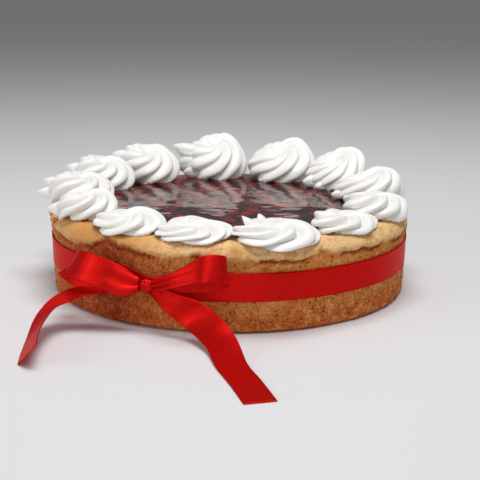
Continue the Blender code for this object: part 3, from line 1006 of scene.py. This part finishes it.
def make_satin_material():
    material, tree, shader, _ = new_material("red satin")
    uv = put(tree, "UVMap", uv_map="cloth").outputs["UV"]
    across = put(tree, "SeparateXYZ", Vector=uv).outputs["Y"]
    edge = ranged(tree, arithmetic(tree, "ABSOLUTE", across), *SELVEDGE)
    threads = put(tree, "TexWave", Vector=uv, Scale=14.0, bands_direction="X")
    slubs = put(tree, "TexNoise", Vector=uv, Scale=2.5, Detail=3.0)
    deep = ranged(tree, slubs.outputs["Fac"], 0.35, 0.7, 0.0, 0.35)
    colour = mixed(tree, deep, SATIN_RED, SATIN_DEEP)
    colour = mixed(tree, arithmetic(tree, "MULTIPLY", edge, 0.35), colour, SATIN_DEEP)
    tree.links.new(colour, shader.inputs["Base Color"])
    tree.links.new(ranged(tree, edge, 0.0, 1.0, 0.36, 0.5), shader.inputs["Roughness"])
    tangent = put(tree, "Tangent", direction_type="UV_MAP", uv_map="cloth")
    tree.links.new(tangent.outputs["Tangent"], shader.inputs["Tangent"])
    shader.inputs["Anisotropic"].default_value = 0.85
    shader.inputs["Anisotropic Rotation"].default_value = 0.25
    weave = arithmetic(tree, "ADD", threads.outputs["Fac"], arithmetic(tree, "MULTIPLY", edge, 2.0))
    bump = put(tree, "Bump", Strength=0.10, Distance=0.0002, Height=weave)
    tree.links.new(bump.outputs["Normal"], shader.inputs["Normal"])
    shader.inputs["Metallic"].default_value = 0.65
    shader.inputs["Specular IOR Level"].default_value = 0.20
    shader.inputs["Specular Tint"].default_value = rgb(1.0, 0.15, 0.12)
    return material


satin_material = make_satin_material()
print("made", satin_material.name)

# %% Helpers: a smooth curve, and a strip of ribbon along it
STRIPS_ACROSS = 24


def spline(values, share):
    """A smooth curve through evenly spaced values (Catmull-Rom), share running from 0 to 1."""
    last = len(values) - 1
    place = share * last
    start = min(int(place), last - 1)
    t = place - start
    before = values[max(start - 1, 0)]
    here, there = values[start], values[start + 1]
    after = values[min(start + 2, last)]
    return (
        here * 2.0
        + (there - before) * t
        + (before * 2.0 - here * 5.0 + there * 4.0 - after) * (t * t)
        + (here * 3.0 - before - there * 3.0 + after) * (t * t * t)
    ) * 0.5


def path_length(middles, steps=200):
    points = [spline(middles, index / steps) for index in range(steps + 1)]
    return sum((there - here).length for here, there in zip(points, points[1:]))


def thicken(piece):
    """Give the ribbon its thickness, half of it to either side."""
    wall = piece.modifiers.new("thickness", "SOLIDIFY")
    wall.thickness = RIBBON_THICKNESS
    wall.offset = 0.0
    apply_modifiers(piece)


def ribbon_strip(name, middles, acrosses, widths, steps, folds, replaced, cut=0.0):
    """A strip of ribbon; folds(share, side) lifts it off its middle surface.

    The share runs from 0 to 1 along the ribbon and the side from -1 to 1 across it. The
    cut slants the far end, and is the share of the length that one edge is shorter by.
    """
    length = path_length(middles)
    bm = bmesh.new()
    bmesh.ops.create_grid(bm, x_segments=steps, y_segments=STRIPS_ACROSS, size=1.0)
    cloth = bm.loops.layers.uv.new("cloth")
    spread = {vert: (vert.co.x, vert.co.y) for vert in bm.verts}
    for face in bm.faces:
        for loop in face.loops:
            along, side = spread[loop.vert]
            loop[cloth].uv = ((along + 1.0) / 2.0 * length / CM, side * RIBBON_WIDTH / 2.0 / CM)
    nudge = 0.5 / steps
    for vert in bm.verts:
        along, side = spread[vert]
        share = (along + 1.0) / 2.0 * (1.0 - cut * (1.0 - side) / 2.0)
        ahead = spline(middles, min(share + nudge, 1.0)) - spline(middles, max(share - nudge, 0.0))
        ahead.normalize()
        across = spline(acrosses, share)
        across = (across - ahead * across.dot(ahead)).normalized()
        lift = ahead.cross(across) * folds(share, side)
        vert.co = spline(middles, share) + across * (side * spline(widths, share) / 2.0) + lift
    piece = add_piece(name, bm, satin_material, replaced)
    thicken(piece)
    print(name, "is", round(length / CM, 1), "cm long")
    return piece, length


# %% [markdown]
# ### The band round the wall
#
# The band is a closed strip that lies on the wall, so it is a short profile spun round
# the cake. It is real cloth: its edges wave by a fraction of a millimetre.

# %% Wrap the band
BAND_GAP = 0.045 * CM
BAND_STRIPS = 16
BAND_STEPS = 480
BAND_WANDER = 0.025 * CM
EDGE_LIFT = 0.02 * CM
BAND_PLEATS = 0.035 * CM


def lay_band_uv(bm):
    """Centimetres along the band and across it; a face at the seam isn't torn apart."""
    cloth = bm.loops.layers.uv.new("cloth")
    for face in bm.faces:
        middle = face.calc_center_median()
        for loop in face.loops:
            angle = math.atan2(loop.vert.co.y, loop.vert.co.x)
            if middle.x < 0 and middle.y > 0 and angle < 0:
                angle += math.tau
            if middle.x < 0 and middle.y < 0 and angle > 0:
                angle -= math.tau
            side = loop.vert.co.z - (band_low.z + band_high.z) / 2
            loop[cloth].uv = (angle * WALL_RADIUS / CM, side / CM)


def make_band():
    heights = [band_low.z + RIBBON_WIDTH * index / BAND_STRIPS for index in range(BAND_STRIPS + 1)]
    bm = spun([(wall_radius(height) + BAND_GAP, height) for height in heights], BAND_STEPS)
    bm.faces.ensure_lookup_table()
    first = bm.faces[0]
    if first.normal.dot(first.calc_center_median().xy.to_3d()) < 0:
        bmesh.ops.reverse_faces(bm, faces=bm.faces)
    lay_band_uv(bm)
    for vert in bm.verts:
        angle = math.atan2(vert.co.y, vert.co.x)
        ring = polar(1.0, angle, 0.0)
        side = (vert.co.z - band_low.z) / RIBBON_WIDTH * 2.0 - 1.0
        height = gathered(vert.co.z, angle) + BAND_WANDER * noise.noise(ring * 2.4)
        lift = EDGE_LIFT * side * side * (0.5 + noise.noise(ring * 9.0))
        lift += BAND_PLEATS * (1.0 + math.cos(3.0 * math.pi * side)) * near_knot(angle)
        vert.co = polar(wall_radius(height) + BAND_GAP + lift, angle, height)
    piece = add_piece("satin_band", bm, satin_material, ["ribbon_band"])
    thicken(piece)


make_band()

# %% [markdown]
# ### The bow's loops
#
# A loop leaves the knot, swings out and up, folds over and comes back behind itself. Its
# path is given round the cake: degrees from the knot, distance from the cake's axis,
# height and width in centimetres, then how it leans back and sideways. At the knot the
# ribbon is gathered into pleats, which open and fade away along the loop.

# %% Tie the loops
RIGHT_LOOP = (
    (2.2, 13.75, 3.15, 0.75, 10, 0),
    (7.8, 14.45, 3.78, 0.95, 25, 0),
    (12.6, 14.75, 4.36, 1.25, 28, 0),
    (17.4, 14.75, 4.80, 1.75, 27, 0),
    (21.9, 14.25, 4.56, 1.82, 22, -8),
    (18.3, 13.65, 4.03, 1.85, 14, 0),
    (12.6, 13.42, 3.60, 1.50, 8, 0),
    (6.8, 13.40, 3.28, 1.10, 4, 0),
    (2.2, 13.40, 3.10, 0.75, 0, 0),
)
LEFT_LOOP = (
    (-2.2, 13.75, 3.18, 0.90, 10, 0),
    (-5.4, 14.20, 3.28, 1.75, 20, 4),
    (-9.8, 14.60, 3.70, 1.90, 24, 12),
    (-15.0, 14.85, 4.05, 1.90, 25, 22),
    (-20.4, 14.75, 4.02, 1.90, 22, 33),
    (-24.2, 14.38, 3.78, 1.90, 18, 31),
    (-25.0, 13.88, 3.12, 1.90, 12, 29),
    (-22.3, 13.62, 2.80, 1.90, 8, 24),
    (-17.0, 13.46, 2.82, 1.80, 6, 14),
    (-11.0, 13.40, 2.95, 1.40, 4, 8),
    (-2.2, 13.40, 3.05, 0.75, 0, 0),
)
LOOP_STEPS = 150
PLEAT_DEPTH = 0.09 * CM
RIGHT_PLEATS, LEFT_PLEATS = 2.5, 2.0


def loop_folds(pleats):
    """Pleats near both ends of the loop, and a slight curl across its middle."""
    def folds(share, side):
        near = bell(share, 0.0, 0.20) + 0.6 * bell(share, 1.0, 0.16)
        curl = 0.05 * CM * (1.0 - side * side) * bell(share, 0.45, 0.35)
        return near * PLEAT_DEPTH * math.cos(pleats * math.pi * side) + curl
    return folds


def make_loop(name, rows, folds, replaced):
    middles, acrosses, widths = [], [], []
    for degrees, radius, height, width, lean, sideways in rows:
        direction = KNOT_DIRECTION + math.radians(degrees)
        outwards = polar(1.0, direction, 0.0)
        along = polar(1.0, direction + math.pi / 2, 0.0)
        middles.append(outwards * (radius * CM) + Vector((0, 0, height * CM)))
        across = Vector((0, 0, 1)) - outwards * math.tan(math.radians(lean))
        acrosses.append(across + along * math.tan(math.radians(sideways)))
        widths.append(width * CM)
    return ribbon_strip(name, middles, acrosses, widths, LOOP_STEPS, folds, replaced)


right_loop, right_length = make_loop(
    "satin_loop_right", RIGHT_LOOP, loop_folds(RIGHT_PLEATS), ["bow_loop_right"],
)
left_loop, left_length = make_loop(
    "satin_loop_left", LEFT_LOOP, loop_folds(LEFT_PLEATS), ["bow_loop_left"],
)

# %% [markdown]
# ### The knot
#
# The knot is a short turn of the same ribbon, drawn tight over the two loops, so that it
# creases along its length. A UV sphere with its poles at the knot's two sides gives it
# the right shape: its rings become the creases.

# %% Tie the knot
# Its size along the ribbon's band, outwards and up.
KNOT_SIZE = Vector((0.84 * CM, 0.62 * CM, 0.92 * CM))


def make_knot():
    centre = (knot_low + knot_high) / 2
    size = KNOT_SIZE / 2
    outwards = polar(1.0, KNOT_DIRECTION, 0.0)
    sideways = polar(1.0, KNOT_DIRECTION + math.pi / 2, 0.0)
    bm = bmesh.new()
    bmesh.ops.create_uvsphere(bm, u_segments=48, v_segments=40, radius=1.0)
    for vert in bm.verts:
        along = vert.co.z
        around = math.atan2(vert.co.y, vert.co.x)
        full = (1.0 - abs(along) ** 3.0) ** 0.5 if abs(along) < 1.0 else 0.0
        crease = 1.0 + 0.07 * math.cos(2.6 * math.pi * along + 1.3 * math.sin(around + 0.6))
        wrinkle = Vector((along * 2.2, math.cos(around), math.sin(around)))
        crease *= 1.0 + 0.12 * noise.noise(wrinkle)
        waist = 0.88 + 0.12 * along * along
        out = size.y * full * crease * waist * math.cos(around)
        up = size.z * full * crease * waist * math.sin(around)
        vert.co = centre + sideways * (size.x * along) + outwards * out + Vector((0, 0, up))
    cloth = bm.loops.layers.uv.new("cloth")
    for face in bm.faces:
        for loop in face.loops:
            offset = loop.vert.co - centre
            loop[cloth].uv = (offset.z / CM, offset.dot(sideways) / CM)
    return add_piece("satin_knot", bm, satin_material, ["bow_knot"])


knot = make_knot()
print("knot:", triangles(knot), "triangles")

# %% [markdown]
# ### The ribbon's tails
#
# Both tails come out from under the knot and run down to whatever the cake stands on. The
# right one lies flat there, and the left one rests on one edge, half turned up. Each row
# gives the middle of the ribbon and its width in centimetres, and the direction across.

# %% Lay the tails
RIGHT_TAIL = (
    ((-5.12, -12.45, 2.95), 0.5, (0.30, -0.10, 0.9)),
    ((-3.55, -13.35, 2.12), 1.4, (0.65, -0.10, 0.75)),
    ((-1.95, -14.20, 1.50), 1.9, (0.75, 0.00, 0.6)),
    ((-0.55, -16.20, 0.75), 1.9, (0.88, 0.20, 0.35)),
    ((0.20, -19.00, 0.16), 1.9, (0.93, 0.33, 0.05)),
    ((1.00, -21.60, 0.10), 1.9, (0.93, 0.33, 0.0)),
    ((1.75, -24.40, 0.06), 1.9, (0.94, 0.30, 0.0)),
)
LEFT_TAIL = (
    ((-6.00, -12.23, 2.80), 0.7, (0.00, -0.10, 1.0)),
    ((-7.15, -12.00, 2.75), 1.0, (0.05, -0.40, 0.85)),
    ((-8.35, -11.80, 2.45), 1.5, (0.12, -0.85, 0.12)),
    ((-9.55, -11.60, 2.35), 1.9, (0.20, -0.95, -0.05)),
    ((-10.75, -11.80, 1.95), 1.9, (0.50, -0.80, 0.0)),
    ((-11.60, -13.00, 1.45), 1.9, (0.68, -0.50, 0.4)),
    ((-11.90, -15.00, 0.95), 1.9, (0.65, -0.15, 0.7)),
    ((-11.90, -17.30, 0.79), 1.9, (0.62, 0.0, 0.78)),
    ((-11.65, -19.80, 0.79), 1.9, (0.62, 0.0, 0.78)),
)
TAIL_STEPS = 120
STRAIGHT_CUT, SLANTED_CUT = 0.0, 0.06


def tail_folds(share, side):
    """A pleat down the middle where the tail leaves the knot, then almost flat."""
    return 0.07 * CM * math.cos(2.0 * math.pi * side) * bell(share, 0.0, 0.16)


def make_tail(name, rows, cut, replaced):
    middles = [Vector(row[0]) * CM for row in rows]
    widths = [row[1] * CM for row in rows]
    acrosses = [Vector(row[2]) for row in rows]
    piece, length = ribbon_strip(
        name, middles, acrosses, widths, TAIL_STEPS, tail_folds, replaced, cut,
    )


make_tail("satin_tail_right", RIGHT_TAIL, STRAIGHT_CUT, ["ribbon_tail_right"])
make_tail("satin_tail_left", LEFT_TAIL, SLANTED_CUT, ["ribbon_tail_left"])

# %% [markdown]
# ## Floor, light and colour
#
# The stage is a plain pale floor. A large soft light overhead shapes the cream and the
# crust, and a low one in front and one on the left give the satin its shine. The world's
# grey keeps the shadows soft. Colours are shown as they are, without a film-like curve, so
# that the cream stays white and the satin stays red.

# %% Lay the floor
FLOOR_SIZE = 40.0


def make_floor():
    material, _, shader, _ = new_material("pale floor")
    shader.inputs["Base Color"].default_value = rgb(0.72, 0.72, 0.73)
    shader.inputs["Roughness"].default_value = 0.6
    bm = bmesh.new()
    bmesh.ops.create_grid(bm, x_segments=2, y_segments=2, size=FLOOR_SIZE / 2)
    mesh = bpy.data.meshes.new("floor")
    bm.to_mesh(mesh)
    bm.free()
    mesh.materials.append(material)
    floor = bpy.data.objects.new("floor", mesh)
    bpy.context.scene.collection.objects.link(floor)
    print("floor:", FLOOR_SIZE, "m wide")


make_floor()

# %% Hang the lights
LIT = Vector((0, 0, 5.0 * CM))


def add_light(name, place, size, watts):
    data = bpy.data.lights.new(name, "AREA")
    data.shape = "RECTANGLE"
    data.size, data.size_y = size
    data.energy = watts
    light = bpy.data.objects.new(name, data)
    aim = (LIT - Vector(place)).to_track_quat("-Z", "Y").to_matrix().to_4x4()
    light.matrix_world = Matrix.Translation(place) @ aim
    bpy.context.scene.collection.objects.link(light)
    print(name, watts, "W")


add_light("overhead softbox", (0.10, -0.12, 1.40), (0.8, 0.8), 17.0)
add_light("front softbox", (0.00, -1.7, 0.55), (0.6, 0.45), 3.2)
add_light("left softbox", (-1.40, -0.65, 0.5), (1.0, 0.6), 6.0)

world = bpy.data.worlds.new("soft grey room")
world.use_nodes = True
background = world.node_tree.nodes["Background"]
background.inputs["Color"].default_value = rgb(0.75, 0.76, 0.78)
background.inputs["Strength"].default_value = 0.27
bpy.context.scene.world = world
bpy.context.scene.view_settings.view_transform = "Standard"
